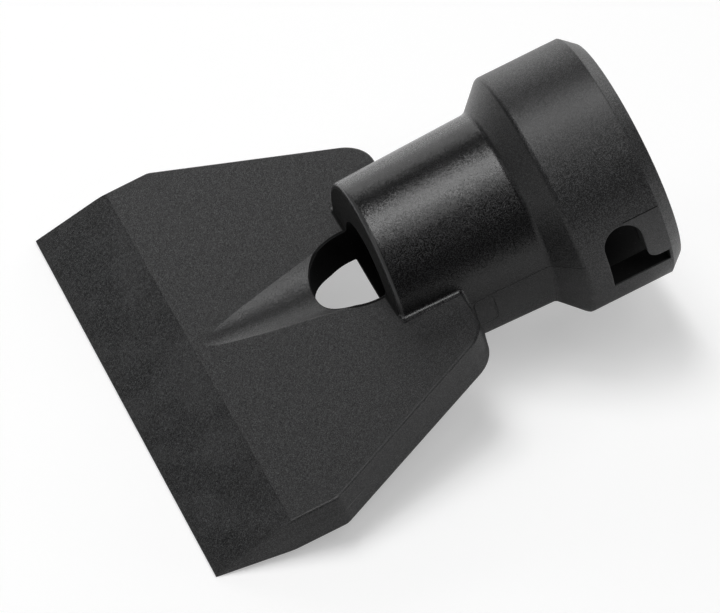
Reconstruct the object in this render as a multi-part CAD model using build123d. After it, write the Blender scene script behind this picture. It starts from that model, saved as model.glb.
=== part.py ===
from build123d import *
import math
import os

# A scraper nozzle for a vacuum cleaner, moulded in one piece of black plastic.
# It is built along its tube axis: X runs from the scraping edge to the socket, Y across the blade,
# Z out of the blade's upper face. The mould parts on Z = 0, and half a turn about X turns one half
# into the other. At the end the nozzle is laid down as it comes to rest: on its scraping edge and the
# lower rim of its mouth, with the socket clear of the ground.

# Blade, in millimetres and degrees
BLADE_WIDTH = 99.3
EDGE_WIDTH = 99.3
EDGE_THICKNESS = 0.5
BEVEL_LENGTH = 15.2
BEVEL_THICKNESS = 6.5
SHOULDER_THICKNESS = 7.0
STRAIGHT_SIDE = 23.8
SIDE_TAPER = 29.2
SIDE_DRAFT = 4.0
BLADE_REACH = 48.5
SHOULDER_REACH = 11.7
SHOULDER_RADIUS = 8.1
SIDE_CORNER_RADIUS = 2.5
BLADE_EDGE_ROUND = 0.45

# Neck, cone and socket
NECK_MOUTH_RADIUS = 17.45
NECK_REAR_RADIUS = 18.3
NECK_LENGTH = 27.6
FACE_DRAFT = 5.5
MOUTH_ROUND = 0.8
CONE_ANGLE = 45.0
SOCKET_RADIUS = 22.9
SOCKET_LENGTH = 18.3
RIM_CHAMFER_LENGTH = 2.5
RIM_CHAMFER_DEPTH = 2.2
BARREL_ROUND = 1.2
JUNCTION_ROUND = 0.6

# Air way through the tube and the grooves that lead into it
MOUTH_BORE_RADIUS = 10.4
MOUTH_LAND = 2.4
HOLE_REACH = 10.3
HOLE_STRAIGHT_SIDE = 1.0
HOLE_FLAT_RADIUS = 1.1
NECK_BORE_FRONT_RADIUS = 14.4
NECK_BORE_REAR_RADIUS = 15.4
FUNNEL_ANGLE = 45.0
SOCKET_BORE_RADIUS = 18.3
SOCKET_DEPTH = 17.6
SOCKET_LEAD_IN = 0.6
GROOVE_LENGTH = 30.3
GROOVE_HALF_WIDTH = 9.8
GROOVE_DEPTH = 2.9
GROOVE_TIP_RADIUS = 8.4

# Bayonet windows in the socket wall, measured from the rim and from the parting plane
WINDOW_RIM = 3.0
WINDOW_LENGTH = 11.0
WINDOW_LOW = 8.3
WINDOW_HIGH = 4.65
WINDOW_EYE_RADIUS = 3.6
TONGUE_LOW = 5.4
TONGUE_RADIUS = 2.2
LUG_CHANNEL_DEPTH = 1.3

# Stations along the axis, from the scraping edge
bevel_z = BEVEL_THICKNESS / 2
shoulder_z = SHOULDER_THICKNESS / 2
mouth_x = BLADE_REACH
hole_x = mouth_x - HOLE_STRAIGHT_SIDE
shoulder_x = mouth_x + SHOULDER_REACH
cone_x = mouth_x + NECK_LENGTH
socket_x = cone_x + (SOCKET_RADIUS - NECK_REAR_RADIUS) / math.tan(math.radians(CONE_ANGLE))
rim_x = socket_x + SOCKET_LENGTH
seat_x = rim_x - SOCKET_DEPTH
past = 2 * SOCKET_RADIUS


def face_height(x):
    """Height of the blade's upper face above the parting plane, behind the bevel."""
    return bevel_z + (shoulder_z - bevel_z) * (x - BEVEL_LENGTH) / (shoulder_x - BEVEL_LENGTH)


def blade_half():
    """Upper half of the spade-shaped plate: drafted sides, bevelled front, rounded upper outline."""
    half_width = BLADE_WIDTH / 2
    edge_half = EDGE_WIDTH / 2
    shoulder_half = half_width - (shoulder_x - STRAIGHT_SIDE) * math.tan(math.radians(SIDE_TAPER))
    outline = Polygon(
        (0, -edge_half),
        (STRAIGHT_SIDE, -half_width),
        (shoulder_x, -shoulder_half),
        (shoulder_x, shoulder_half),
        (STRAIGHT_SIDE, half_width),
        (0, edge_half),
        align=None,
    )
    outline = fillet(outline.vertices().group_by(Axis.X)[2], SHOULDER_RADIUS)
    outline = fillet(outline.vertices().group_by(Axis.X)[1], SIDE_CORNER_RADIUS)
    half = extrude(outline, shoulder_z, taper=SIDE_DRAFT)
    above = Polygon(
        (-1, EDGE_THICKNESS / 2),
        (0, EDGE_THICKNESS / 2),
        (BEVEL_LENGTH, bevel_z),
        (shoulder_x, shoulder_z),
        (shoulder_x, shoulder_z + 1),
        (-1, shoulder_z + 1),
        align=None,
    )
    half -= extrude(Plane.XZ * above, BLADE_WIDTH + EDGE_WIDTH, both=True)
    upper_face = half.faces().sort_by(Axis.Z)[-1]
    outer_edges = upper_face.edges().filter_by(lambda e: e.center().X > BEVEL_LENGTH + 0.01)
    return fillet(outer_edges, BLADE_EDGE_ROUND)


def groove():
    """Round-bottomed groove that widens and deepens from its tip near the bevel to the mouth's hole."""
    mouth_radius = (GROOVE_HALF_WIDTH**2 + GROOVE_DEPTH**2) / (2 * GROOVE_DEPTH)
    tip_x = hole_x - GROOVE_LENGTH
    tip_z = face_height(tip_x) + GROOVE_TIP_RADIUS
    mouth_z = face_height(hole_x) - GROOVE_DEPTH + mouth_radius
    tip = Plane((tip_x, 0, tip_z), x_dir=(0, 1, 0), z_dir=(1, 0, 0))
    mouth = Plane((hole_x, 0, mouth_z), x_dir=(0, 1, 0), z_dir=(1, 0, 0))
    return loft([tip * Circle(GROOVE_TIP_RADIUS), mouth * Circle(mouth_radius)], ruled=True)


def barrel_half():
    """Upper half of the tube's outside: neck with a drafted front face, cone, socket, chamfered rim."""
    profile = Polygon(
        (mouth_x, 0),
        (mouth_x, NECK_MOUTH_RADIUS),
        (cone_x, NECK_REAR_RADIUS),
        (socket_x, SOCKET_RADIUS),
        (rim_x - RIM_CHAMFER_LENGTH, SOCKET_RADIUS),
        (rim_x, SOCKET_RADIUS - RIM_CHAMFER_DEPTH),
        (rim_x, 0),
        align=None,
    )
    bends = profile.vertices().filter_by(lambda v: cone_x - 0.01 < v.X < socket_x + 0.01)
    half = revolve(fillet(bends, BARREL_ROUND), Axis.X, 180)
    face_lean = math.tan(math.radians(FACE_DRAFT))
    face = Polygon(
        (mouth_x - 1, 0),
        (mouth_x, 0),
        (mouth_x + past * face_lean, past),
        (mouth_x - 1, past),
        align=None,
    )
    half -= extrude(Plane.XZ * face, past, both=True)
    front = half.faces().sort_by(Axis.X)[0]
    mouth_edge = front.edges().sort_by(Axis.Z)[-1]
    return fillet(mouth_edge, MOUTH_ROUND)


def air_way():
    """The hollow of the tube, as one turned core: blunt nose, mouth, funnel, neck and socket."""
    nose_x = mouth_x - HOLE_REACH
    land_x = mouth_x + MOUTH_LAND
    funnel_x = land_x + (NECK_BORE_FRONT_RADIUS - MOUTH_BORE_RADIUS) / math.tan(math.radians(FUNNEL_ANGLE))
    out_x = rim_x + 1
    nose = EllipticalCenterArc(
        (hole_x, HOLE_FLAT_RADIUS),
        hole_x - nose_x,
        MOUTH_BORE_RADIUS - HOLE_FLAT_RADIUS,
        start_angle=90,
        arc_size=90,
    )
    walls = Polyline(
        (nose_x, HOLE_FLAT_RADIUS),
        (nose_x, 0),
        (out_x, 0),
        (out_x, SOCKET_BORE_RADIUS + SOCKET_LEAD_IN + 1),
        (rim_x - SOCKET_LEAD_IN, SOCKET_BORE_RADIUS),
        (seat_x, SOCKET_BORE_RADIUS),
        (seat_x, NECK_BORE_REAR_RADIUS),
        (funnel_x, NECK_BORE_FRONT_RADIUS),
        (land_x, MOUTH_BORE_RADIUS),
        (hole_x, MOUTH_BORE_RADIUS),
    )
    return revolve(make_face(nose + walls), Axis.X)


def junction_edges(half):
    """Inner corner between the blade and the tube, from the mouth round to the back of the shoulders."""

    def on_junction(edge):
        middle = edge.center()
        along = mouth_x - MOUTH_ROUND < middle.X < shoulder_x + 0.01
        beside = MOUTH_BORE_RADIUS < abs(middle.Y) < NECK_REAR_RADIUS
        return along and beside and 0.01 < middle.Z < shoulder_z + 0.01

    return half.edges().filter_by(on_junction)


def window():
    """Bayonet window seen from the side: an eye for the lug, a lane below it and the tongue between."""
    rear_x = rim_x - WINDOW_RIM
    front_x = rear_x - WINDOW_LENGTH
    eye_z = WINDOW_HIGH - WINDOW_EYE_RADIUS
    tongue_x = front_x + 2 * WINDOW_EYE_RADIUS
    lane = Polygon(
        (front_x, -WINDOW_LOW),
        (rear_x, -WINDOW_LOW),
        (rear_x, -TONGUE_LOW),
        (tongue_x, -TONGUE_LOW),
        (tongue_x, eye_z),
        (front_x, eye_z),
        align=None,
    )
    corner = lane.vertices().filter_by(lambda v: abs(v.X - tongue_x) + abs(v.Y + TONGUE_LOW) < 0.01)
    eye = Pos(front_x + WINDOW_EYE_RADIUS, eye_z) * Circle(WINDOW_EYE_RADIUS)
    return extrude(Plane.XZ * (fillet(corner, TONGUE_RADIUS) + eye), past)


def lug_channel():
    """Groove inside the rim that lets a lug of the wand pass into the window's lane."""
    length = WINDOW_RIM + 1
    width = WINDOW_LOW - TONGUE_LOW
    mouth = Pos(rim_x - WINDOW_RIM + length / 2, -(WINDOW_LOW + TONGUE_LOW) / 2) * Rectangle(length, width)
    floor = Pos(rim_x, 0, 0) * Rot(0, 90, 0) * Cylinder(SOCKET_BORE_RADIUS + LUG_CHANNEL_DEPTH, 4 * length)
    return extrude(Plane.XZ * mouth, past) & floor


def nozzle():
    """The whole moulding along its own axis: the upper half, sewn to the same half turned over."""
    half = barrel_half() + (blade_half() - groove()) - air_way()
    half = fillet(junction_edges(half), JUNCTION_ROUND)
    for turn in (0, 180):
        half -= Rot(turn, 0, 0) * (window() + lug_channel())
    skin = half.faces().filter_by(lambda f: f.bounding_box().max.Z > 0.001)
    return Solid(Shell([*skin, *(Rot(180, 0, 0) * face for face in skin)]))


def rest_angle():
    """Slope of the axis at rest: the line from the scraping edge that touches the mouth's lower rim.

    The rim's round is a circle between the drafted front face and the tapered neck.
    """
    face_lean = math.tan(math.radians(FACE_DRAFT))
    neck_slope = (NECK_REAR_RADIUS - NECK_MOUTH_RADIUS) / NECK_LENGTH
    face_offset = MOUTH_ROUND * math.hypot(1, face_lean)
    neck_offset = MOUTH_ROUND * math.hypot(1, neck_slope)
    drop = (NECK_MOUTH_RADIUS - neck_offset + face_offset * neck_slope) / (1 - face_lean * neck_slope)
    along = mouth_x + face_offset + drop * face_lean
    below_edge = drop - EDGE_THICKNESS / 2
    to_centre = math.hypot(along, below_edge)
    return math.degrees(math.atan2(below_edge, along) + math.asin(MOUTH_ROUND / to_centre))


def laid_down(body):
    """The nozzle at rest on level ground, with the origin under the middle of its box."""
    lying = Rot(0, -rest_angle(), 0) * body
    box = lying.bounding_box()
    return Pos(-box.center().X, -box.center().Y, -box.min.Z) * lying


os.makedirs("parts", exist_ok=True)
export_step(laid_down(nozzle()), "parts/scraper_nozzle.step")
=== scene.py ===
import math

import bmesh
import bpy
from mathutils import Euler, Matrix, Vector

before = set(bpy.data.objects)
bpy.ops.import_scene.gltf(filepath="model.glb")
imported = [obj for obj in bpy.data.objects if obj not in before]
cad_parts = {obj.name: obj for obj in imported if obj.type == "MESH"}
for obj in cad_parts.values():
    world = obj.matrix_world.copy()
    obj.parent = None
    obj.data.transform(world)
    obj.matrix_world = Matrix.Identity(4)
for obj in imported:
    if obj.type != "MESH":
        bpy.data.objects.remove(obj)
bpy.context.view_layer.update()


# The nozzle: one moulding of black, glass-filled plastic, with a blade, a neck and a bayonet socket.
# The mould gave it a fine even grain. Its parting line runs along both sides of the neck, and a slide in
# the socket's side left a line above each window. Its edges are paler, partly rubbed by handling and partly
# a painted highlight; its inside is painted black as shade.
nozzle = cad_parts["scraper_nozzle"]
TUBE_SLOPE = 18.786
EDGE_FOOT = (-0.0501480, 0.0, 0.0002367)
MILLIMETRE = 0.001
EDGE_ROUND = 0.3 * MILLIMETRE
# stations along the tube, in millimetres from the scraping edge
BEVEL_END = 15.2
FLASH_START, FLASH_END = 24.4, 27.8
MOUTH, SHOULDER, CONE, BORE, SOCKET = 48.5, 60.2, 76.0, 78.75, 80.9
WINDOW_START, WINDOW_END = 81.5, 96.05
SLIDE_START, SLIDE_END = 89.6, 96.4
# distances from the tube's axis, in millimetres
LIP_INSIDE, LIP_OUTSIDE = 16.7, 17.7
NECK_INSIDE, NECK_OUTSIDE = 16.9, 19.0
SOCKET_OUTSIDE = 19.75
PARTING_OUTSIDE = 16.75
FLASH_OUTSIDE = 40.5
NECK_WALL, BORE_WALL, WINDOW_WALL = 16.5, 18.6, 22.5
# other marks, in millimetres
HOLE_BACK, HOLE_RADIUS, HOLE_FLAT = 47.5, 9.3, 1.1
SLIDE_LOW, SLIDE_HIGH = -5.4, 4.98
SEAM_LINE, SLIDE_LINE = (0.05, 0.18), (0.05, 0.17)
PAD_MIDDLE, PAD_HALF, PAD_CORNER, PAD_LINE = (62.9, -3.6), (0.7, 2.2), 1.2, 0.1
LIP_START, LIP_END = 0.05, 0.6
MOUTH_LEAN = math.tan(math.radians(5.5))
GRAINS_PER_MM, FLECKS_PER_MM, CLOUDS_PER_MM = 8.5, 0.9, 0.11
GRAIN_LEAN = 0.17
BLACK = (0.0010, 0.0010, 0.0011, 1)
GRAIN_GREY = (0.0490, 0.0490, 0.0502, 1)
SPECK_GREY = (0.040, 0.040, 0.041, 1)
# the paler grey of wear, also used for the painted highlight along the edges and the mouth's lip
WORN_AND_HIGHLIGHT_GREY = (0.055, 0.055, 0.056, 1)
EDGE_WEAR_AND_HIGHLIGHT, LIP_HIGHLIGHT, SCUFF_WEAR, SLIDE_WEAR = 0.7, 0.8, 0.25, 0.45
SHINE, NECK_SHINE, SOCKET_DULL, CLOUD_DULL = 0.35, 0.12, 0.05, 0.06
SLIDE_SHINE, SLIDE_LINE_DULL, INSIDE_DULL = 0.06, 0.6, 0.65
FLASH_HEIGHT, PAD_DEPTH, PARTING_DEPTH, SPECK_DEPTH = 0.08, 0.10, 0.10, 0.02


class Wire:
    """A socket in a node tree. Sums and products of wires add the Math nodes for them."""

    def __init__(self, tree, socket=None):
        self.tree = tree
        self.socket = socket

    def node(self, kind, settings, sockets, out=0):
        """Adds a node: its settings first, then a value or a wire for each of its sockets."""
        made = self.tree.nodes.new("ShaderNode" + kind)
        for name, value in settings.items():
            setattr(made, name, value)
        for name, value in sockets.items():
            if isinstance(value, Wire):
                self.tree.links.new(value.socket, made.inputs[name])
            else:
                made.inputs[name].default_value = value
        return Wire(self.tree, made.outputs[out])

    def into(self, shader, name):
        """Links this wire to a socket of the material's shader."""
        self.tree.links.new(self.socket, shader.inputs[name])

    def maths(self, operation, first, second=0.0):
        return self.node("Math", {"operation": operation}, {0: first, 1: second})

    def __add__(self, other):
        return self.maths("ADD", self, other)

    def __sub__(self, other):
        return self.maths("SUBTRACT", self, other)

    def __rsub__(self, other):
        return self.maths("SUBTRACT", other, self)

    def __mul__(self, other):
        return self.maths("MULTIPLY", self, other)

    def __abs__(self):
        return self.maths("ABSOLUTE", self)

    __radd__ = __add__
    __rmul__ = __mul__

    def rise(self, low, high):
        """0 below low, 1 above high and a smooth step between them."""
        levels = {"Value": self, "From Min": low, "From Max": high, "To Min": 0.0, "To Max": 1.0}
        return self.node("MapRange", {"interpolation_type": "SMOOTHSTEP"}, levels)

    def within(self, low, high, soft):
        """1 between low and high, 0 outside, with a soft step at each end."""
        return self.rise(low - soft, low + soft) * (1 - self.rise(high - soft, high + soft))

    def tint(self, first, second):
        """The colour that this wire, from 0 to 1, mixes between two others."""
        return self.node("Mix", {"data_type": "RGBA"}, {0: self, 6: first, 7: second}, 2)


plastic = bpy.data.materials.new("black_moulded_plastic")
plastic.use_nodes = True
skin = plastic.node_tree.nodes["Principled BSDF"]
mould = Wire(plastic.node_tree)
# millimetres along the tube from the scraping edge, across the blade, and out of its upper face
along_tube = {
    "Vector": mould.node("TexCoord", {}, {}, "Object"),
    "Location": EDGE_FOOT,
    "Rotation": (0, math.radians(-TUBE_SLOPE), 0),
    "Scale": (MILLIMETRE,) * 3,
}
tube = mould.node("Mapping", {"vector_type": "TEXTURE"}, along_tube)
x = mould.node("SeparateXYZ", {}, {0: tube}, "X")
y = mould.node("SeparateXYZ", {}, {0: tube}, "Y")
z = mould.node("SeparateXYZ", {}, {0: tube}, "Z")
radius = mould.maths("SQRT", y * y + z * z)
on_neck = x.within(MOUTH, CONE, 0.5) * radius.within(NECK_INSIDE, NECK_OUTSIDE, 0.1)
on_socket = x.rise(SOCKET - 0.5, SOCKET + 0.5) * radius.rise(SOCKET_OUTSIDE - 0.25, SOCKET_OUTSIDE + 0.25)

# the inside: the hollow tube, the windows' walls and the wall of the hole in the blade; its colour is
# painted black as shade, and it is made duller
inner_wall = NECK_WALL + (BORE_WALL - NECK_WALL) * x.rise(BORE - 0.25, BORE + 0.25)
inner_wall = inner_wall + (WINDOW_WALL - BORE_WALL) * x.within(WINDOW_START, WINDOW_END, 0.05)
tube_wall = x.rise(MOUTH - 0.4, MOUTH) * (1 - (radius - inner_wall).rise(0.0, 0.2))
beside_hole = mould.maths("MAXIMUM", abs(y) - HOLE_FLAT)
from_hole = mould.maths("SQRT", (x - HOLE_BACK) * (x - HOLE_BACK) + beside_hole * beside_hole)
hole_wall = 1 - from_hole.rise(HOLE_RADIUS + 0.02, HOLE_RADIUS + 0.08)
hole_wall = hole_wall * (1 - x.rise(MOUTH - 0.1, MOUTH))
shaded_dull_inside = mould.maths("MAXIMUM", tube_wall, hole_wall)

# the grain, larger clouds and flecks, and the edges
cells = {"Vector": tube, "Scale": GRAINS_PER_MM, "Randomness": 1.0}
pit = mould.node("TexVoronoi", {"feature": "F1"}, cells, "Color")
grain = mould.node("SeparateXYZ", {}, {0: pit}, "X")
clouds = {"Vector": tube, "Scale": CLOUDS_PER_MM, "Detail": 4.0, "Roughness": 0.6}
cloud = mould.node("TexNoise", {}, clouds)
flecks = {"Vector": tube, "Scale": FLECKS_PER_MM, "Randomness": 1.0}
fleck = mould.node("TexVoronoi", {"feature": "F1"}, flecks)
# sharp edges: paler in the colour below, partly rubbed by handling and partly a painted highlight
rounded = mould.node("Bevel", {"samples": 4}, {"Radius": EDGE_ROUND})
faceted = mould.node("NewGeometry", {}, {}, "True Normal")
facing = mould.node("VectorMath", {"operation": "DOT_PRODUCT"}, {0: rounded, 1: faceted}, "Value")
worn_and_highlit_edge = (1 - facing).rise(0.01, 0.15)

# the mould's lines: the parting line, its flash, the slide above each window and the ejector pad
turned = (0 - z) * mould.maths("SIGN", y)
seam = 1 - abs(z).rise(*SEAM_LINE)
parting = seam * x.within(SHOULDER, SOCKET, 0.2)
parting = parting * radius.rise(PARTING_OUTSIDE - 0.25, PARTING_OUTSIDE + 0.25)
flash = seam * x.within(FLASH_START, FLASH_END, 0.5) * radius.rise(FLASH_OUTSIDE - 0.5, FLASH_OUTSIDE + 0.5)
slide_span = x.within(SLIDE_START, SLIDE_END, 0.2) * on_socket
slide = (1 - abs(turned - SLIDE_HIGH).rise(*SLIDE_LINE)) * slide_span
slide_face = turned.within(SLIDE_LOW, SLIDE_HIGH, 0.1) * slide_span
past_x = mould.maths("MAXIMUM", abs(x - PAD_MIDDLE[0]) - PAD_HALF[0])
past_z = mould.maths("MAXIMUM", abs(z - PAD_MIDDLE[1]) - PAD_HALF[1])
pad = mould.maths("SQRT", past_x * past_x + past_z * past_z)
pad_line = pad.within(PAD_CORNER - PAD_LINE, PAD_CORNER + PAD_LINE, 0.06)
pad_line = pad_line * (1 - y.rise(-1.0, 1.0)) * on_neck

# what handling has left: a rubbed bevel and a few pale flecks; and a painted highlight along the mouth's
# lip
lip_highlight = (x - MOUTH - MOUTH_LEAN * abs(z)).within(LIP_START, LIP_END, 0.1)
lip_highlight = lip_highlight * radius.within(LIP_INSIDE, LIP_OUTSIDE, 0.1)
scuffed = (1 - x.rise(BEVEL_END - 0.3, BEVEL_END + 0.3)) * cloud.rise(0.42, 0.66)
spot = (1 - fleck.rise(0.06, 0.15)) * grain.rise(0.30, 0.60)

# the grain's grey; the inside gets none and is painted plain black as shade
mottle = (0.06 + 0.8 * grain * grain) * (1 - 0.5 * on_neck + 0.4 * on_socket) * (1 - shaded_dull_inside)
colour = mottle.tint(BLACK, GRAIN_GREY)
# paler grey where rubbed (bevel scuffs, slide face, flash), and as a painted highlight along the edges and
# the mouth's lip
worn_and_highlit = worn_and_highlit_edge * EDGE_WEAR_AND_HIGHLIGHT + lip_highlight * LIP_HIGHLIGHT + scuffed * SCUFF_WEAR + slide_face * SLIDE_WEAR + flash
colour = worn_and_highlit.tint(colour, WORN_AND_HIGHLIGHT_GREY)
colour = (slide + pad_line * 0.6 + parting * 0.8).tint(colour, BLACK)
colour = (spot * 0.5).tint(colour, SPECK_GREY)
colour.into(skin, "Base Color")

roughness = SHINE - NECK_SHINE * on_neck + SOCKET_DULL * on_socket + CLOUD_DULL * (cloud - 0.5)
# the inside is also rougher, on top of its colour being painted black as shade
roughness = roughness - SLIDE_SHINE * slide_face + SLIDE_LINE_DULL * slide + INSIDE_DULL * shaded_dull_inside
roughness.into(skin, "Roughness")

witness = FLASH_HEIGHT * flash - PAD_DEPTH * pad_line - PARTING_DEPTH * parting - SPECK_DEPTH * spot
relief = {"Height": witness, "Strength": 1.0, "Distance": MILLIMETRE, "Normal": rounded}
moulded = mould.node("Bump", {}, relief)
lean = {0: pit, 1: (GRAIN_LEAN,) * 3, 2: (-GRAIN_LEAN / 2,) * 3}
leaning = mould.node("VectorMath", {"operation": "MULTIPLY_ADD"}, lean)
grained = mould.node("VectorMath", {"operation": "ADD"}, {0: moulded, 1: leaning})
mould.node("VectorMath", {"operation": "NORMALIZE"}, {0: grained}).into(skin, "Normal")
skin.inputs["Specular IOR Level"].default_value = 0.33
nozzle.data.materials.clear()
nozzle.data.materials.append(plastic)


# The table: a sheet of white paper that the nozzle lies on.
# The lamps light most of its white and keep the nozzle's soft shadow on it. The rest is a glow for the eye
# and for reflections, which fades out of the nozzle's reflections close by, as a painted shadow where its
# own body stands over the paper.
FLOOR_REACH = 1.0
FLOOR_WHITE = (0.70, 0.70, 0.70, 1)
FLOOR_GLOW = 0.37
SHADED_REACH, OPEN_REACH = 0.043, 0.082
sheet = bmesh.new()
bmesh.ops.create_grid(sheet, x_segments=1, y_segments=1, size=FLOOR_REACH)
floor_mesh = bpy.data.meshes.new("paper_floor")
sheet.to_mesh(floor_mesh)
sheet.free()
floor = bpy.data.objects.new("paper_floor", floor_mesh)
bpy.context.scene.collection.objects.link(floor)
paper = bpy.data.materials.new("white_paper")
paper.use_nodes = True
page = paper.node_tree.nodes["Principled BSDF"]
page.inputs["Base Color"].default_value = FLOOR_WHITE
page.inputs["Roughness"].default_value = 0.9
page.inputs["Specular IOR Level"].default_value = 0.1
page.inputs["Emission Strength"].default_value = FLOOR_GLOW
fibre = Wire(paper.node_tree)
seen = fibre.node("LightPath", {}, {}, "Is Camera Ray")
mirrored = fibre.node("LightPath", {}, {}, "Is Glossy Ray")
through = fibre.node("LightPath", {}, {}, "Is Transmission Ray")
spot_on_floor = fibre.node("TexCoord", {}, {}, "Object")
reach = fibre.node("VectorMath", {"operation": "LENGTH"}, {0: spot_on_floor}, "Value")
# near the nozzle the mirrored glow fades out: a painted shadow in its reflections
mirrored = mirrored * reach.rise(SHADED_REACH, OPEN_REACH)
(seen + mirrored + through).tint((0, 0, 0, 1), (1, 1, 1, 1)).into(page, "Emission Color")
floor.data.materials.append(paper)


# The room: a white studio around the table, with a little even light of its own.
# What the camera looks at beyond the paper is white.
ROOM_LIGHT = 0.05
room = bpy.data.worlds.new("white_studio")
bpy.context.scene.world = room
room.use_nodes = True
backdrop = room.node_tree.nodes["Background"]
backdrop.inputs["Color"].default_value = (1, 1, 1, 1)
wall = Wire(room.node_tree)
looked_at = wall.node("LightPath", {}, {}, "Is Camera Ray")
(looked_at + ROOM_LIGHT * (1 - looked_at)).into(backdrop, "Strength")


# The lamps: softboxes over the nozzle, a long low one behind it and small cards of light at its ends.
# Each stands in a compass direction and height, in degrees, and faces the nozzle.
LAMP_DISTANCE = 1.2
lamps = (
    ("key_softbox", 144, 75, 0.50, 0.50, 5.6),
    ("left_softbox", 216, 75, 0.50, 0.50, 2.9),
    ("front_softbox", 288, 56, 0.60, 0.60, 2.7),
    ("back_softbox", 94, 29, 0.70, 0.36, 1.4),
    ("back_strip", 66, 9, 2.20, 0.36, 4.2),
    ("rear_card", 30, 20, 0.50, 0.40, 1.5),
    ("left_card", 185, 36, 0.40, 0.40, 0.9),
    ("right_card", 322, 3, 0.60, 0.12, 2.0),
)
for name, compass, climb, wide, high, power in lamps:
    lamp = bpy.data.lights.new(name, "AREA")
    lamp.shape = "RECTANGLE"
    lamp.size, lamp.size_y = wide, high
    lamp.energy = power
    stand = bpy.data.objects.new(name, lamp)
    bpy.context.scene.collection.objects.link(stand)
    turn = Euler((math.radians(90 - climb), 0, math.radians(compass + 90)))
    stand.rotation_euler = turn
    stand.location = turn.to_matrix() @ Vector((0, 0, LAMP_DISTANCE))


# The camera: a long lens above the near side of the nozzle, at the photograph's angle.
# The view keeps its colours as they are lit.
CAMERA_PLACE = (-0.227740, -0.555584, 0.459877)
CAMERA_TURN = (53.0341, -1.2109, -20.8499)
lens = bpy.data.cameras.new("camera")
lens.sensor_width = 36.0
lens.lens = 213.01
lens.clip_start, lens.clip_end = 0.01, 20.0
camera = bpy.data.objects.new("camera", lens)
bpy.context.scene.collection.objects.link(camera)
camera.location = CAMERA_PLACE
camera.rotation_euler = Euler([math.radians(turn) for turn in CAMERA_TURN], "XYZ")
bpy.context.scene.camera = camera
bpy.context.scene.view_settings.view_transform = "Standard"
